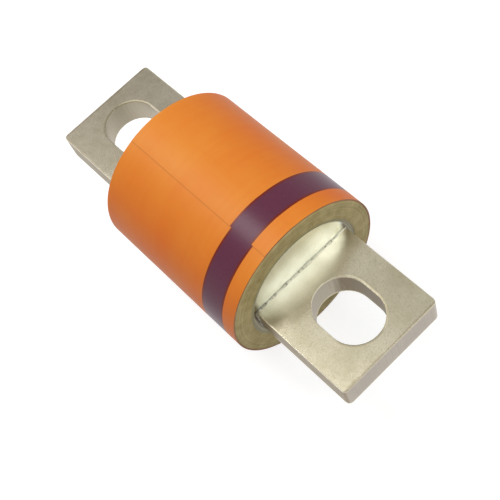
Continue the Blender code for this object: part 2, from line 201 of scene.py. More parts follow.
# The sections of the resin lines. Each point says how far out it lies from the plug's edge, and how far up
# from the plug's face.
PLUG_LINE_SECTION = (
    (-0.00028, -0.00002),
    (-0.0001, -0.00007),
    (0.0001, -0.00007),
    (0.00028, 0.00002),
    (0.00045, 0.00014),
    (0.00045, -0.0003),
    (-0.00028, -0.0003),
)
FILL_LINE_SECTION = (
    (-0.00012, -0.00003),
    (0.00002, 0.00002),
    (0.00012, 0.0001),
    (0.00022, 0.00027),
    (0.00032, 0.00032),
    (0.00032, -0.0003),
    (-0.00012, -0.0003),
)
LINE_STEPS = 160


def new_piece(name, shape, *finishes):
    """Makes a finished bmesh into an object of the scene, with smooth faces."""
    for face in shape.faces:
        face.smooth = True
    mesh = bpy.data.meshes.new(name)
    shape.to_mesh(mesh)
    shape.free()
    for finish in finishes:
        mesh.materials.append(finish)
    piece = bpy.data.objects.new(name, mesh)
    bpy.context.scene.collection.objects.link(piece)
    return piece


# Each line's end, the way it faces, its face's distance from the middle, its axis's height, its plug's
# radius and its section.
fill_low, fill_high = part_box("fill_hole_plug")
fill_radius = (fill_high.y - fill_low.y) / 2
fill_drop = (fill_high.z + fill_low.z) / 2
resin_lines = (
    ("near", 1, plug_corner.x, 0, plug_corner.y, PLUG_LINE_SECTION),
    ("far", -1, plug_corner.x, 0, plug_corner.y, PLUG_LINE_SECTION),
    ("fill", -1, -fill_low.x, fill_drop, fill_radius, FILL_LINE_SECTION),
)
for end, side, depth, drop, reach, section in resin_lines:
    line = bmesh.new()
    corners = [line.verts.new((side * (depth + up), reach + out, drop)) for out, up in section]
    edges = [line.edges.new(pair) for pair in zip(corners, corners[1:] + corners[:1])]
    bmesh.ops.spin(
        line, geom=corners + edges, cent=(0, 0, drop), axis=(1, 0, 0), dvec=(0, 0, 0), angle=math.tau,
        steps=LINE_STEPS, use_merge=True,
    )
    bmesh.ops.recalc_face_normals(line, faces=line.faces)
    resin_line = new_piece("resin_line_" + end, line, resin)
    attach(resin_line, "root")


# Lock pins and the filling hole's plug. Short drawn steel rod, cropped, tumbled and driven in flush.
# The pins lie under the label, and the plug shows on the far end as a small grey dot.
PIN_STEEL = "#A7A8AB"
PIN_STEEL_DULL = "#8C8D90"
DRAW_LINE = 0.0002
DRAW_DEPTH = 0.00001

# Tumbled steel: fine lines along the rod, half worn away, with a dull grey bloom.
pin_steel, tree, place = new_finish("tumbled_drawn_steel")
lines = add(tree, "TexNoise", {"Vector": place, "Scale": 1 / DRAW_LINE, "Detail": 3}).outputs[0]
tone = add(tree, "Mix", {0: lines, 6: PIN_STEEL_DULL, 7: PIN_STEEL}, data_type="RGBA").outputs[2]
rough = add(tree, "MapRange", {0: lines, 1: 0.3, 2: 0.7, 3: 0.3, 4: 0.45}).outputs[0]
relief = add(tree, "Bump", {"Height": lines, "Distance": DRAW_DEPTH, "Strength": 0.5}).outputs[0]
surface(tree, Base_Color=tone, Metallic=1.0, Roughness=rough, Normal=relief)
for name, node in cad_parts.items():
    if name.startswith("lock_pin") or name == "fill_hole_plug":
        node.material_slots[0].material = pin_steel


# Fuse elements. Five rolled silver strips, punched with rows of holes that leave narrow necks to melt.
# They stand side by side in grooves of the two plugs, buried in the sand.
SILVER = "#E6E4DE"
SILVER_DULL = "#CFCCC4"
SILVER_GRAIN_LENGTH = 1 / 60
SILVER_GRAIN_WIDTH = 0.00025
SILVER_GRAIN_DEPTH = 0.00001

# Rolled silver: a fine grain along the strip, slightly matt.
silver, tree, place = new_finish("rolled_silver")
grain_scale = (1 / SILVER_GRAIN_LENGTH, 1 / SILVER_GRAIN_WIDTH, 1 / SILVER_GRAIN_WIDTH)
along = add(tree, "Mapping", {"Vector": place, "Scale": grain_scale}).outputs[0]
grain = add(tree, "TexNoise", {"Vector": along, "Scale": 1, "Detail": 3}).outputs[0]
tone = add(tree, "Mix", {0: grain, 6: SILVER_DULL, 7: SILVER}, data_type="RGBA").outputs[2]
rough = add(tree, "MapRange", {0: grain, 1: 0.3, 2: 0.7, 3: 0.22, 4: 0.36}).outputs[0]
relief = add(tree, "Bump", {"Height": grain, "Distance": SILVER_GRAIN_DEPTH, "Strength": 0.4}).outputs[0]
surface(tree, Base_Color=tone, Metallic=1.0, Roughness=rough, Normal=relief)
for name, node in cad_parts.items():
    if name.startswith("fuse_element"):
        node.material_slots[0].material = silver


# Sand filler. Washed quartz sand, shaken down tight round the strips until the tube is full.
# It quenches the arc when the strips melt.
SAND_PALE = "#D9CDB0"
SAND_HONEY = "#B59B6C"
SAND_GRAIN = 0.0005
SAND_RELIEF = 0.0001
SAND_ROUGHNESS = 0.75

# Quartz sand: rounded grains of half a millimetre, some clear and some honey-coloured.
quartz, tree, place = new_finish("packed_quartz_sand")
grains = add(tree, "TexVoronoi", {"Vector": place, "Scale": 1 / SAND_GRAIN}).outputs
tone = add(tree, "Mix", {0: grains["Color"], 6: SAND_PALE, 7: SAND_HONEY}, data_type="RGBA").outputs[2]
relief = add(tree, "Bump", {"Height": grains["Distance"], "Distance": SAND_RELIEF}, invert=True).outputs[0]
surface(tree, Base_Color=tone, Roughness=SAND_ROUGHNESS, Normal=relief)
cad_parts["sand_filler"].material_slots[0].material = quartz


# Terminal blades. Copper bar cut off, slotted for the bolt, tumbled, tin plated and brazed into the plugs.
# The flat faces clamp on the busbars. Handling has rubbed their edges and the slots' rims bright.
SLOT_WIDTH = 0.0121
SLOT_LENGTH = 0.0158
SLOT_EDGE_DISTANCE = 0.0037
TIN = "#E2D9BE"
TIN_DULL = "#C4BB9E"
TIN_SPECK_AND_SHADE = "#A0977A"
TIN_LIT_BY_PLUG = "#E8E0C8"
TIN_RUBBED = "#E4DCC4"
TIN_END_SHADE = "#9A8D76"
TIN_FAR_SHADE = "#E4E2E7"
TIN_END_FACE = "#A09588"
TIN_SIDE_SHADE = "#90826C"
NEAR_SLOT_WALL = "#AEA594"
NEAR_SLOT_SHADE = "#80735F"
FAR_SLOT_WALL_LIT = "#B6AC9A"
TIN_CLOUD = 0.006
TIN_PIT = 0.0005
PIT_DEPTH = 0.000005
ROLL_GRAIN_LENGTH = 0.004
ROLL_GRAIN_WIDTH = 1 / 1500
SAW_LINE_LENGTH = 1 / 150
SAW_LINE_WIDTH = 1 / 1800
CUT_ROUGHNESS = 0.45
EDGE_BAND = 0.0006
EDGE_FADE = 0.0005
RUBBED_WIDTH = 0.0005
END_SHADE_WIDTH = 0.0008
NEAR_PLUG_FULL = 0.0245
NEAR_PLUG_END = 0.0275
NEAR_PLUG_SIDE_FULL = 0.0075
NEAR_PLUG_SIDE_END = 0.0108
FLUX_SKIN_FROM = -0.0085
FLUX_SKIN_FULL = -0.0112
SLOT_SHADE_FROM = 0.0020
SLOT_SHADE_FULL = 0.0042
SLOT_SHADE_RAGGED = 0.0006
RIM_SHADE_FROM = 0.0360
RIM_SHADE_FULL = 0.0378
RUBBED_RIM_WIDTH = 0.0005
RUBBED_RIM_FROM = 0.0010
RUBBED_RIM_FULL = 0.0030
HEATED_FULL = 0.023
HEATED_END = 0.031
MIDDLE_FADE = 0.001
slot_radius = SLOT_WIDTH / 2
slot_straight = (SLOT_LENGTH - SLOT_WIDTH) / 2
slot_centre = blade_corner.x - SLOT_EDGE_DISTANCE - SLOT_LENGTH / 2

# Tin plate over rolled copper: a champagne grey, cloudy and finely pitted, rubbed pale along its sides.
# Painted light: it is lighter near the plug. Painted shade: it is darker along its ends, on its sides, round
# the slot's outer rim and on the far blade, and the slots' walls are painted lighter on the far blade and
# darker at one side on the near one. The sawn faces and the slot are duller and faintly pink. The rolling
# grain and the saw's lines are drawn coarser than real ones, to show.
tinned, tree, place = new_finish("tin_plated_copper")
parts = add(tree, "SeparateXYZ", {0: place}).outputs
clouds = add(
    tree, "TexNoise", {"Vector": place, "Scale": 1 / TIN_CLOUD, "Detail": 5, "Roughness": 0.6}
).outputs[0]
pits = add(tree, "TexNoise", {"Vector": place, "Scale": 1 / TIN_PIT, "Detail": 2}).outputs[0]
roll_scale = (1 / ROLL_GRAIN_LENGTH, 1 / ROLL_GRAIN_WIDTH, 1 / ROLL_GRAIN_WIDTH)
roll_place = add(tree, "Mapping", {"Vector": place, "Scale": roll_scale}).outputs[0]
rolled = add(tree, "TexNoise", {"Vector": roll_place, "Scale": 1, "Detail": 3}).outputs[0]
saw_scale = (1 / SAW_LINE_WIDTH, 1 / SAW_LINE_WIDTH, 1 / SAW_LINE_LENGTH)
saw_place = add(tree, "Mapping", {"Vector": place, "Scale": saw_scale}).outputs[0]
sawn = add(tree, "TexNoise", {"Vector": saw_place, "Scale": 1, "Detail": 3}).outputs[0]

# How far a point is from the fuse's middle, and from the bar's end, side and slot.
from_middle = add(tree, "Math", {0: parts["X"]}, operation="ABSOLUTE").outputs[0]
off_centre = add(tree, "Math", {0: parts["Y"]}, operation="ABSOLUTE").outputs[0]
height = add(tree, "Math", {0: parts["Z"]}, operation="ABSOLUTE").outputs[0]
end_gap = add(tree, "Math", {0: blade_corner.x, 1: from_middle}, operation="SUBTRACT").outputs[0]
side_gap = add(tree, "Math", {0: blade_corner.y, 1: off_centre}, operation="SUBTRACT").outputs[0]
slot_run = add(tree, "Math", {0: from_middle, 1: slot_centre}, operation="SUBTRACT").outputs[0]
slot_away = add(tree, "Math", {0: slot_run}, operation="ABSOLUTE").outputs[0]
slot_past = add(tree, "Math", {0: slot_away, 1: slot_straight}, operation="SUBTRACT").outputs[0]
slot_turn = add(tree, "Math", {0: slot_past, 1: 0.0}, operation="MAXIMUM").outputs[0]
slot_arm = add(tree, "CombineXYZ", {"X": slot_turn, "Y": off_centre}).outputs[0]
slot_reach = add(tree, "VectorMath", {0: slot_arm}, operation="LENGTH").outputs["Value"]
slot_gap = add(tree, "Math", {0: slot_reach, 1: slot_radius}, operation="SUBTRACT").outputs[0]

# Which face a point is on, the flat, the slot's wall, the side or else the end, and of which blade.
flat_from = blade_corner.z - EDGE_BAND
on_flat = add(tree, "MapRange", {0: height, 1: flat_from, 2: flat_from + EDGE_FADE}).outputs[0]
off_flat = add(tree, "Math", {0: 1.0, 1: on_flat}, operation="SUBTRACT").outputs[0]
in_slot = add(tree, "MapRange", {0: slot_gap, 1: EDGE_BAND, 2: EDGE_BAND / 6}).outputs[0]
at_side = add(tree, "MapRange", {0: side_gap, 1: EDGE_BAND, 2: EDGE_BAND / 3}).outputs[0]
at_near = add(tree, "MapRange", {0: parts["X"], 1: -MIDDLE_FADE, 2: MIDDLE_FADE}).outputs[0]
at_far = add(tree, "Math", {0: 1.0, 1: at_near}, operation="SUBTRACT").outputs[0]

# The flats: clouds and pits, then painted light, lighter tin near the plug, with a skin of flux at one side
# of it.
dull = add(tree, "MapRange", {0: clouds, 1: 0.35, 2: 0.65}).outputs[0]
cloudy = add(tree, "Mix", {0: dull, 6: TIN, 7: TIN_DULL}, data_type="RGBA").outputs[2]
pitted = add(tree, "MapRange", {0: pits, 1: 0.5, 2: 0.75, 4: 0.3}).outputs[0]
specked = add(tree, "Mix", {0: pitted, 6: cloudy, 7: TIN_SPECK_AND_SHADE}, data_type="RGBA").outputs[2]
near_plug = add(
    tree, "MapRange", {0: from_middle, 1: NEAR_PLUG_END, 2: NEAR_PLUG_FULL}, interpolation_type="SMOOTHSTEP"
).outputs[0]
inside = add(
    tree, "MapRange", {0: off_centre, 1: NEAR_PLUG_SIDE_END, 2: NEAR_PLUG_SIDE_FULL, 4: 0.65}
).outputs[0]
lit_by_plug = add(tree, "Math", {0: near_plug, 1: inside}, operation="MULTIPLY").outputs[0]
plug_lit = add(tree, "Mix", {0: lit_by_plug, 6: specked, 7: TIN_LIT_BY_PLUG}, data_type="RGBA").outputs[2]
to_side = add(tree, "MapRange", {0: parts["Y"], 1: FLUX_SKIN_FROM, 2: FLUX_SKIN_FULL, 4: 0.6}).outputs[0]
flux_skin = add(tree, "Math", {0: near_plug, 1: to_side}, operation="MULTIPLY").outputs[0]
by_seat = add(tree, "Mix", {0: flux_skin, 6: plug_lit, 7: TIN_SPECK_AND_SHADE}, data_type="RGBA").outputs[2]
# Painted shade: the far blade's flats are multiplied by a grey, so they read darker than the near blade's.
flat = add(
    tree, "Mix", {0: at_far, 6: by_seat, 7: TIN_FAR_SHADE}, data_type="RGBA", blend_type="MULTIPLY"
).outputs[2]

# The slots' walls, painted shade and light: the near one is painted darker at one side, with a ragged edge
# between, and the far one is painted lighter.
blotched = add(
    tree, "MapRange", {0: sawn, 1: 0.35, 2: 0.65, 3: -SLOT_SHADE_RAGGED, 4: SLOT_SHADE_RAGGED}
).outputs[0]
blotchy = add(tree, "Math", {0: parts["Y"], 1: blotched}, operation="ADD").outputs[0]
slot_shaded = add(tree, "MapRange", {0: blotchy, 1: SLOT_SHADE_FROM, 2: SLOT_SHADE_FULL}).outputs[0]
near_wall = add(
    tree, "Mix", {0: slot_shaded, 6: NEAR_SLOT_WALL, 7: NEAR_SLOT_SHADE}, data_type="RGBA"
).outputs[2]
slot_wall = add(tree, "Mix", {0: at_near, 6: FAR_SLOT_WALL_LIT, 7: near_wall}, data_type="RGBA").outputs[2]

# The ends and sides: the plate has stayed on the ridges between the saw's lines. The sides are painted
# darker than the ends, as shade.
cut_face = add(tree, "Mix", {0: at_side, 6: TIN_END_FACE, 7: TIN_SIDE_SHADE}, data_type="RGBA").outputs[2]
grooved = add(tree, "Math", {0: sawn, 1: clouds}, operation="MULTIPLY").outputs[0]
ridged = add(tree, "MapRange", {0: grooved, 1: 0.18, 2: 0.34, 4: 0.2}).outputs[0]
sawn_face = add(tree, "Mix", {0: ridged, 6: cut_face, 7: TIN_DULL}, data_type="RGBA").outputs[2]
upright = add(tree, "Mix", {0: in_slot, 6: sawn_face, 7: slot_wall}, data_type="RGBA").outputs[2]
unworn = add(tree, "Mix", {0: on_flat, 6: upright, 7: flat}, data_type="RGBA").outputs[2]

# The flats' edges: a pale ragged line of wear along each side, then painted shade, a dark ragged line along
# each end and the slot's rim darkened at its outer round, both dimming the highlights there.
ragged = add(
    tree, "MapRange", {0: pits, 1: 0.35, 2: 0.7, 3: 0.3 * RUBBED_WIDTH, 4: 1.6 * RUBBED_WIDTH}
).outputs[0]
from_side = add(tree, "Math", {0: side_gap, 1: ragged}, operation="DIVIDE", use_clamp=True).outputs[0]
by_side = add(tree, "Math", {0: 1.0, 1: from_side}, operation="SUBTRACT").outputs[0]
rubbed = add(tree, "Math", {0: by_side, 1: on_flat}, operation="MULTIPLY").outputs[0]
pale_line = add(tree, "Mix", {0: dull, 6: TIN_RUBBED, 7: TIN_DULL}, data_type="RGBA").outputs[2]
side_worn = add(tree, "Mix", {0: rubbed, 6: unworn, 7: pale_line}, data_type="RGBA").outputs[2]
torn = add(
    tree, "MapRange", {0: clouds, 1: 0.35, 2: 0.65, 3: 0.5 * END_SHADE_WIDTH, 4: 1.3 * END_SHADE_WIDTH}
).outputs[0]
from_end = add(tree, "Math", {0: end_gap, 1: torn}, operation="DIVIDE", use_clamp=True).outputs[0]
by_end = add(tree, "MapRange", {0: from_end, 1: 0.5, 2: 1.0, 3: 0.45, 4: 0.0}).outputs[0]
end_shade = add(tree, "Math", {0: by_end, 1: on_flat}, operation="MULTIPLY").outputs[0]
end_shaded = add(tree, "Mix", {0: end_shade, 6: side_worn, 7: TIN_END_SHADE}, data_type="RGBA").outputs[2]
# Painted shade round the slot's outer rim, in the same colour as the tin's specks.
rim_shade_reach = add(
    tree, "MapRange", {0: from_middle, 1: RIM_SHADE_FROM, 2: RIM_SHADE_FULL, 4: 0.8}
).outputs[0]
rim_shade_zone = add(tree, "Math", {0: rim_shade_reach, 1: in_slot}, operation="MULTIPLY").outputs[0]
rim_shaded = add(tree, "Math", {0: rim_shade_zone, 1: on_flat}, operation="MULTIPLY").outputs[0]
tone = add(tree, "Mix", {0: rim_shaded, 6: end_shaded, 7: TIN_SPECK_AND_SHADE}, data_type="RGBA").outputs[2]

# The shine: softer by the seat, where the brazing heat reached, and softest on the slot's wall, the sides
# and the rim at the slot's rubbed side.
tarnish = add(tree, "MapRange", {0: clouds, 1: 0.3, 2: 0.7, 3: -0.03, 4: 0.03}).outputs[0]
heated = add(
    tree, "MapRange", {0: from_middle, 1: HEATED_FULL, 2: HEATED_END, 3: 0.34, 4: 0.23},
    interpolation_type="SMOOTHSTEP",
).outputs[0]
flat_rough = add(tree, "Math", {0: heated, 1: tarnish}, operation="ADD").outputs[0]
cut = add(tree, "Math", {0: in_slot, 1: at_side}, operation="MAXIMUM").outputs[0]
on_wall = add(tree, "Math", {0: cut, 1: off_flat}, operation="MULTIPLY").outputs[0]
at_rim = add(tree, "MapRange", {0: slot_gap, 1: RUBBED_RIM_WIDTH, 2: 0.6 * RUBBED_RIM_WIDTH}).outputs[0]
rubbed_side = add(tree, "MapRange", {0: parts["Y"], 1: RUBBED_RIM_FROM, 2: RUBBED_RIM_FULL}).outputs[0]
rubbed_rim = add(tree, "Math", {0: at_rim, 1: rubbed_side}, operation="MULTIPLY").outputs[0]
softer = add(tree, "Math", {0: on_wall, 1: rubbed_rim}, operation="MAXIMUM").outputs[0]
rough = add(tree, "Mix", {0: softer, 2: flat_rough, 3: CUT_ROUGHNESS}).outputs[0]
flat_grain = add(tree, "Math", {0: pits, 1: rolled}, operation="ADD").outputs[0]
grain = add(tree, "Mix", {0: off_flat, 2: flat_grain, 3: sawn}).outputs[0]
relief = add(tree, "Bump", {"Height": grain, "Distance": PIT_DEPTH, "Strength": 0.4}).outputs[0]
surface(tree, Base_Color=tone, Metallic=1.0, Roughness=rough, Normal=relief)
for end in ("near", "far"):
    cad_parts["terminal_blade_" + end].material_slots[0].material = tinned


# Braze beads. Silver braze that was drawn into each blade's seat, and left a thin bead round the blade.
# It is low and uneven, dull where it cooled, and dark where specks of burnt flux are caught in it.
BRAZE = "#DDDAC2"
BURNT_FLUX = "#4E4838"
FLUX_SPECK = 0.0006
BRAZE_DEPTH = 0.00002
BRAZE_ROUGHNESS = 0.4
BEAD_WIDTH = 0.0002
BEAD_HEIGHT = 0.0003
BEAD_SECTION = ((0.1, 1.0), (0.25, 0.55), (0.55, 0.2), (1.0, 0.03), (1.0, -0.1), (0.0, -0.1))
BEAD_CUTS = 60
BEAD_LUMP = 1 / 700
BEAD_UNEVENNESS = 0.6
BEAD_PATTERN_SHIFT = 0.01
BLADE_EDGE = 0.0007
DIRTY_FROM = -0.005
DIRTY_FULL = -0.011

# Silver braze, melted and set: a soft satin skin, with ragged specks of flux, more of them at one side.
braze, tree, place = new_finish("set_silver_braze")
specks = add(tree, "TexNoise", {"Vector": place, "Scale": 1 / FLUX_SPECK, "Detail": 3}).outputs[0]
along_seat = add(tree, "SeparateXYZ", {0: place}).outputs["Y"]
dirtier = add(tree, "MapRange", {0: along_seat, 1: DIRTY_FROM, 2: DIRTY_FULL, 4: 0.2}).outputs[0]
dirt = add(tree, "Math", {0: specks, 1: dirtier}, operation="ADD").outputs[0]
burnt = add(tree, "MapRange", {0: dirt, 1: 0.51, 2: 0.74, 4: 0.75}).outputs[0]
tone = add(tree, "Mix", {0: burnt, 6: BRAZE, 7: BURNT_FLUX}, data_type="RGBA").outputs[2]
shine = add(tree, "MapRange", {0: burnt, 3: 1.0, 4: 0.4}).outputs[0]
relief = add(tree, "Bump", {"Height": specks, "Distance": BRAZE_DEPTH, "Strength": 0.5}).outputs[0]
surface(tree, Base_Color=tone, Metallic=shine, Roughness=BRAZE_ROUGHNESS, Normal=relief)

# The bead is made lying flat: a ring with the blade's rounded outline grows outwards step by step
# through the section, closes on itself, is made uneven, and is then stood up on the plug's face.
seat_half = Vector((blade_corner.y, blade_corner.z, 0))
for end, side in (("near", 1), ("far", -1)):
    bead = bmesh.new()
    outline = Matrix.Diagonal((seat_half.x, seat_half.y, 1, 1))
    bmesh.ops.create_grid(bead, x_segments=1, y_segments=1, size=1, matrix=outline)
    bmesh.ops.bevel(
        bead, geom=bead.verts, offset=BLADE_EDGE, segments=3, profile=0.5, affect="VERTICES", material=-1
    )
    bmesh.ops.delete(bead, geom=bead.faces, context="FACES_ONLY")
    straights = [edge for edge in bead.edges if edge.calc_length() > 2 * BLADE_EDGE]
    bmesh.ops.subdivide_edges(bead, edges=straights, cuts=BEAD_CUTS)
    inner_ring = ring = bead.edges[:]
    bmesh.ops.translate(bead, verts=bead.verts, vec=(0, 0, BEAD_HEIGHT))
    last_out, last_up = 0, 1
    for out, up in BEAD_SECTION:
        grown = bmesh.ops.extrude_edge_only(bead, edges=ring)["geom"]
        ring = [part for part in grown if isinstance(part, bmesh.types.BMEdge)]
        corners = [part for part in grown if isinstance(part, bmesh.types.BMVert)]
        wider = [(half + out * BEAD_WIDTH) / (half + last_out * BEAD_WIDTH) for half in seat_half[:2]]
        bmesh.ops.scale(bead, vec=(*wider, 1), verts=corners)
        bmesh.ops.translate(bead, vec=(0, 0, (up - last_up) * BEAD_HEIGHT), verts=corners)
        last_out, last_up = out, up
    bmesh.ops.bridge_loops(bead, edges=inner_ring + ring)
    for vert in bead.verts:
        lump = noise.noise(Vector((vert.co.x, vert.co.y, BEAD_PATTERN_SHIFT * side)) / BEAD_LUMP)
        uneven = 1 + BEAD_UNEVENNESS * lump
        nearest = Vector([max(-half, min(at, half)) for at, half in zip(vert.co, seat_half)])
        vert.co = nearest + (vert.co - nearest) * uneven
    stand_up = Matrix(((0, 0, side, side * plug_corner.x), (1, 0, 0, 0), (0, 1, 0, 0), (0, 0, 0, 1)))
    bmesh.ops.transform(bead, matrix=stand_up, verts=bead.verts)
    bmesh.ops.recalc_face_normals(bead, faces=bead.faces)
    braze_bead = new_piece("braze_bead_" + end, bead, braze)
    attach(braze_bead, "root")


# Wrap label. A printed polyester sheet, cut flat, wound once round the tube and lapped on itself.
# The print is one orange field with a purple band, its ink laid over the orange, near one end.
LABEL_HALF_LENGTH = 0.0206
LABEL_OUTSIDE = 0.01905
LABEL_THICKNESS = 0.00028
LAP_RISE = 0.00008
LAP_LENGTH = 0.007
LAP_RAMP = 0.0016
LAP_INSET = 0.001
FREE_EDGE_ANGLE = math.radians(108)
RIPPLE = 0.00002
RIPPLE_PITCH = 140
RIPPLE_SKEW = 90
SHEET_STEPS_ALONG = 80
SHEET_STEPS_ROUND = 380
BAND_NEAR = 0.0170
BAND_FAR = 0.0107
BAND_SLANT = 0.0002
SLANT_FROM = 0.04
SLANT_TO = 0.07
ORANGE = "#E77523"
ORANGE_LIGHT = "#EC9236"
PURPLE = "#5D2D40"
PURPLE_LIGHT = "#6C364C"
OVERPRINT = "#76281B"
OVERPRINT_WIDTH = 0.0006
SEAM_SHADOW = "#A5501C"
SEAM_SHADOW_WIDTH = 0.0003
PRINT_BLUR = 0.00005
STREAK_WIDTH = 1 / 900
STREAK_LENGTH = 0.02
INK_CLOUD = 0.012
INK_MOTTLE = 0.0004
INK_RELIEF = 0.00001
LIT_SIDE = (0, -0.087, 0.996)
LIT_FROM = 0.012
ORANGE_ROUGHNESS = 0.46
BAND_ROUGHNESS = 0.31
VARNISH_SPECULAR = 0.18

# Gloss-printed polyester: flat even ink with faint roller streaks round the tube, under a clear varnish.
# The orange is painted lighter and yellower towards the top, as a painted sheen. The band runs very slightly
# askew and has a darker line of overprint along each edge, and a thin painted shadow lies along the seam.
printed, tree, place = new_finish("varnished_printed_polyester")
sheet_place = add(tree, "UVMap", uv_map="print_in_metres").outputs[0]
across = add(tree, "SeparateXYZ", {0: sheet_place}).outputs
slant = add(
    tree, "MapRange", {0: across["Y"], 1: SLANT_FROM, 2: SLANT_TO, 3: BAND_SLANT, 4: -BAND_SLANT},
    interpolation_type="SMOOTHSTEP",
).outputs[0]
band_far = add(tree, "Math", {0: BAND_FAR, 1: slant}, operation="ADD").outputs[0]
from_far = add(tree, "Math", {0: across["X"], 1: band_far}, operation="SUBTRACT").outputs[0]
band_near = add(tree, "Math", {0: BAND_NEAR, 1: slant}, operation="ADD").outputs[0]
from_near = add(tree, "Math", {0: band_near, 1: across["X"]}, operation="SUBTRACT").outputs[0]
band_depth = add(tree, "Math", {0: from_far, 1: from_near}, operation="MINIMUM").outputs[0]
in_band = add(tree, "MapRange", {0: band_depth, 1: -PRINT_BLUR, 2: PRINT_BLUR}).outputs[0]
in_middle = add(
    tree, "MapRange", {0: band_depth, 1: 0.55 * OVERPRINT_WIDTH, 2: OVERPRINT_WIDTH}
).outputs[0]
streak_scale = (1 / STREAK_WIDTH, 1 / STREAK_LENGTH, 1 / STREAK_LENGTH)
streak_place = add(tree, "Mapping", {"Vector": place, "Scale": streak_scale}).outputs[0]
streaks = add(tree, "TexNoise", {"Vector": streak_place, "Scale": 1, "Detail": 3}).outputs[0]
clouds = add(tree, "TexNoise", {"Vector": place, "Scale": 1 / INK_CLOUD, "Detail": 3}).outputs[0]
mottle = add(tree, "TexNoise", {"Vector": place, "Scale": 1 / INK_MOTTLE, "Detail": 1}).outputs[0]
ink = add(tree, "Math", {0: streaks, 1: 0.4, 2: clouds}, operation="MULTIPLY_ADD").outputs[0]
# Painted sheen: the orange is lighter and yellower on the side that faces up towards the key lamp.
height = add(tree, "VectorMath", {0: place, 1: LIT_SIDE}, operation="DOT_PRODUCT").outputs["Value"]
painted_sheen = add(tree, "MapRange", {0: height, 1: LIT_FROM, 2: LABEL_OUTSIDE, 4: 0.75}).outputs[0]
ink_and_sheen = add(tree, "Math", {0: ink, 1: painted_sheen}, operation="ADD").outputs[0]
density = add(tree, "MapRange", {0: ink_and_sheen, 1: 0.62, 2: 1.62}).outputs[0]
orange = add(tree, "Mix", {0: density, 6: ORANGE, 7: ORANGE_LIGHT}, data_type="RGBA").outputs[2]
# Painted shadow: a thin darker line along the seam, just past the lap's free edge.
past_seam = add(tree, "Math", {0: across["Y"], 1: LAP_LENGTH}, operation="SUBTRACT").outputs[0]
off_seam = add(tree, "Math", {0: past_seam}, operation="ABSOLUTE").outputs[0]
on_seam = add(
    tree, "MapRange", {0: off_seam, 1: 0.3 * SEAM_SHADOW_WIDTH, 2: SEAM_SHADOW_WIDTH, 3: 0.3, 4: 0.0}
).outputs[0]
seam_shadowed = add(tree, "Mix", {0: on_seam, 6: orange, 7: SEAM_SHADOW}, data_type="RGBA").outputs[2]
purple = add(tree, "Mix", {0: mottle, 6: PURPLE, 7: PURPLE_LIGHT}, data_type="RGBA").outputs[2]
band = add(tree, "Mix", {0: in_middle, 6: OVERPRINT, 7: purple}, data_type="RGBA").outputs[2]
tone = add(tree, "Mix", {0: in_band, 6: seam_shadowed, 7: band}, data_type="RGBA").outputs[2]
rough = add(tree, "Mix", {0: in_band, 2: ORANGE_ROUGHNESS, 3: BAND_ROUGHNESS}).outputs[0]
relief = add(tree, "Bump", {"Height": mottle, "Distance": INK_RELIEF, "Strength": 0.25}).outputs[0]
surface(tree, Base_Color=tone, Roughness=rough, Specular_IOR_Level=VARNISH_SPECULAR, Normal=relief)

# Unprinted polyester: the sheet's back and cut edge, which the glue has stained brown.
GLUE_BROWN = "#A8683A"
GLUE_TAN = "#BA7C4A"
GLUE_CLOUD = 0.002
GLUE_ROUGHNESS = 0.45
glued, tree, place = new_finish("unprinted_polyester")
haze = add(tree, "TexNoise", {"Vector": place, "Scale": 1 / GLUE_CLOUD}).outputs[0]
tone = add(tree, "Mix", {0: haze, 6: GLUE_BROWN, 7: GLUE_TAN}, data_type="RGBA").outputs[2]
surface(tree, Base_Color=tone, Roughness=GLUE_ROUGHNESS)

# The sheet is cut flat, keeps its own metres as its UV map, and is then wound on from under the lap, with
# a faint ripple. It is made thicker inwards than a real one, so that it meets the tube.
turn_length = math.tau * LABEL_OUTSIDE
sheet_length = turn_length + LAP_LENGTH
start_angle = FREE_EDGE_ANGLE - LAP_LENGTH / LABEL_OUTSIDE
sheet = bmesh.new()
lie_flat = Matrix.Diagonal((LABEL_HALF_LENGTH, sheet_length / 2, 1, 1))
bmesh.ops.create_grid(
    sheet, x_segments=SHEET_STEPS_ALONG, y_segments=SHEET_STEPS_ROUND, size=1, matrix=lie_flat,
    calc_uvs=False,
)
print_map = sheet.loops.layers.uv.new("print_in_metres")
for face in sheet.faces:
    for loop in face.loops:
        loop[print_map].uv = (loop.vert.co.x, loop.vert.co.y + sheet_length / 2)
for vert in sheet.verts:
    run = vert.co.y + sheet_length / 2
    climb = min(max((run - turn_length + LAP_RAMP) / LAP_RAMP, 0), 1)
    rise = LAP_RISE * climb * climb * (3 - 2 * climb)
    angle = start_angle + run / LABEL_OUTSIDE
    round_wave = math.sin(3 * angle + RIPPLE_SKEW * vert.co.x)
    long_wave = math.sin(angle + RIPPLE_PITCH * vert.co.x)
    reach = LABEL_OUTSIDE + rise + RIPPLE * round_wave * long_wave
    inset = 1 - LAP_INSET * climb
    vert.co = (vert.co.x * inset, reach * math.cos(angle), reach * math.sin(angle))
bmesh.ops.recalc_face_normals(sheet, faces=sheet.faces)
sheet.normal_update()
sheet.faces.ensure_lookup_table()
outwards = sheet.faces[0].calc_center_median() * Vector((0, 1, 1))
if sheet.faces[0].normal.dot(outwards) < 0:
    bmesh.ops.reverse_faces(sheet, faces=sheet.faces)
for edge in sheet.edges:
    edge.smooth = not edge.is_boundary
printed_wrap = new_piece("printed_wrap", sheet, printed, glued)
thickness = printed_wrap.modifiers.new("Sheet", "SOLIDIFY")
thickness.thickness = LABEL_THICKNESS
thickness.offset = -1
thickness.material_offset = 1
thickness.material_offset_rim = 1
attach(printed_wrap, "root")
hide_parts("wrap_label")


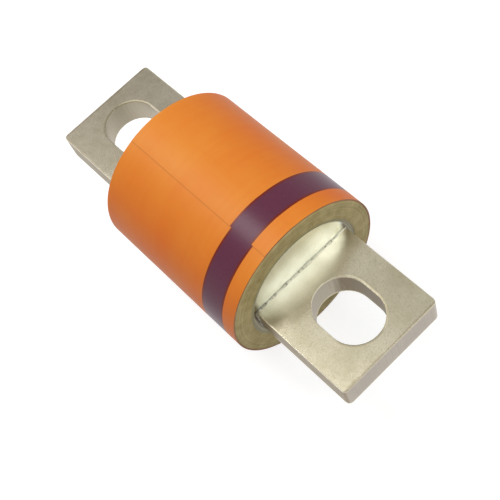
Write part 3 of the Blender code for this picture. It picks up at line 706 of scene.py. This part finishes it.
# Studio floor. A wide white sheet with its edge swept up all round, which the fuse lies on.
# The camera and the metal see it a little brighter than its own light makes it, and it keeps the shadow.
FLOOR_HEIGHT = -0.0191
FLOOR_PROFILE = ((0.02, 0), (0.6, 0), (0.85, 0.12), (0.95, 0.45))
FLOOR_STEPS = 64
CARD_GREY = (0.36, 0.36, 0.36, 1)
CARD_LIFT = 0.8

# White studio card: plain and matt. Its glow is seen directly, in metal and through clear things only, and
# lights nothing.
white_card, tree, place = new_finish("white_studio_card")
paths = add(tree, "LightPath").outputs
direct = add(
    tree, "Math", {0: paths["Is Camera Ray"], 1: paths["Is Glossy Ray"]}, operation="MAXIMUM"
).outputs[0]
seen = add(tree, "Math", {0: direct, 1: paths["Is Transmission Ray"]}, operation="MAXIMUM").outputs[0]
lift = add(tree, "Math", {0: seen, 1: CARD_LIFT}, operation="MULTIPLY").outputs[0]
card = add(tree, "BsdfDiffuse", {"Color": CARD_GREY}).outputs[0]
glow = add(tree, "Emission", {"Color": (1, 1, 1, 1), "Strength": lift}).outputs[0]
both = add(tree, "AddShader", {0: card, 1: glow}).outputs[0]
add(tree, "OutputMaterial", {"Surface": both})

bowl = bmesh.new()
profile = [bowl.verts.new((x, 0, z)) for x, z in FLOOR_PROFILE]
sweep = [bowl.edges.new(pair) for pair in zip(profile, profile[1:])]
bmesh.ops.spin(
    bowl, geom=profile + sweep, cent=(0, 0, 0), axis=(0, 0, 1), dvec=(0, 0, 0), angle=math.tau,
    steps=FLOOR_STEPS, use_merge=True,
)
hole_radius = FLOOR_PROFILE[0][0]
hole_edges = [edge for edge in bowl.edges if edge.is_boundary and edge.calc_length() < hole_radius / 2]
bmesh.ops.holes_fill(bowl, edges=hole_edges)
bmesh.ops.translate(bowl, verts=bowl.verts, vec=(0, 0, FLOOR_HEIGHT))
bmesh.ops.recalc_face_normals(bowl, faces=bowl.faces)
studio_floor = new_piece("studio_floor", bowl, white_card)
smooth_sweep = studio_floor.modifiers.new("Sweep", "SUBSURF")
smooth_sweep.levels = 2
smooth_sweep.render_levels = 2


# Studio light. An even grey room with one bright key lamp behind and above, which lays the sheen along the
# label and a thin bright line on the blades' edges. Two weaker softboxes are there for the metal to mirror.
ROOM_LEVEL = 0.55
LAMP_DISTANCE = 0.8
world = bpy.data.worlds.new("studio_room")
world.use_nodes = True
world.node_tree.nodes["Background"].inputs["Color"].default_value = (1, 1, 1, 1)
world.node_tree.nodes["Background"].inputs["Strength"].default_value = ROOM_LEVEL
bpy.context.scene.world = world


def add_softbox(name, towards, width, radiance):
    """A round lamp that faces the fuse. Radiance 1 looks as bright as white paper."""
    lamp = bpy.data.lights.new(name, "AREA")
    lamp.shape = "DISK"
    lamp.size = width
    lamp.energy = radiance * math.pi * math.pi * width * width / 4
    holder = bpy.data.objects.new(name, lamp)
    holder.location = Vector(towards).normalized() * LAMP_DISTANCE
    holder.rotation_euler = Vector(towards).to_track_quat("Z", "Y").to_euler()
    bpy.context.scene.collection.objects.link(holder)


add_softbox("key_lamp", towards=(-0.49, -0.18, 0.85), width=0.3, radiance=11.0)
add_softbox("ceiling_softbox", towards=(-0.17, -0.03, 0.98), width=0.34, radiance=1.0)
add_softbox("front_softbox", towards=(0.43, 0.33, 0.84), width=0.34, radiance=3.0)


# Camera. A short telephoto held over the near end and rolled, so that the fuse lies across the frame.
CAMERA_PLACE = (0.111326, -0.041139, 0.188451)
CAMERA_RIGHT = Vector((0.66198, 0.7162, -0.22102))
CAMERA_UP = Vector((-0.57922, 0.67597, 0.4556))
SENSOR_WIDTH = 36
LENS_LENGTH = 75.16
camera_data = bpy.data.cameras.new("camera")
camera_data.lens = LENS_LENGTH
camera_data.sensor_width = SENSOR_WIDTH
camera_data.clip_start = 0.01
camera_data.clip_end = 10
camera = bpy.data.objects.new("camera", camera_data)
back = CAMERA_RIGHT.cross(CAMERA_UP).normalized()
up = back.cross(CAMERA_RIGHT).normalized()
turn = Matrix((CAMERA_RIGHT.normalized(), up, back)).transposed().to_4x4()
camera.matrix_world = Matrix.Translation(CAMERA_PLACE) @ turn
bpy.context.scene.collection.objects.link(camera)
bpy.context.scene.camera = camera
bpy.context.scene.view_settings.view_transform = "Standard"
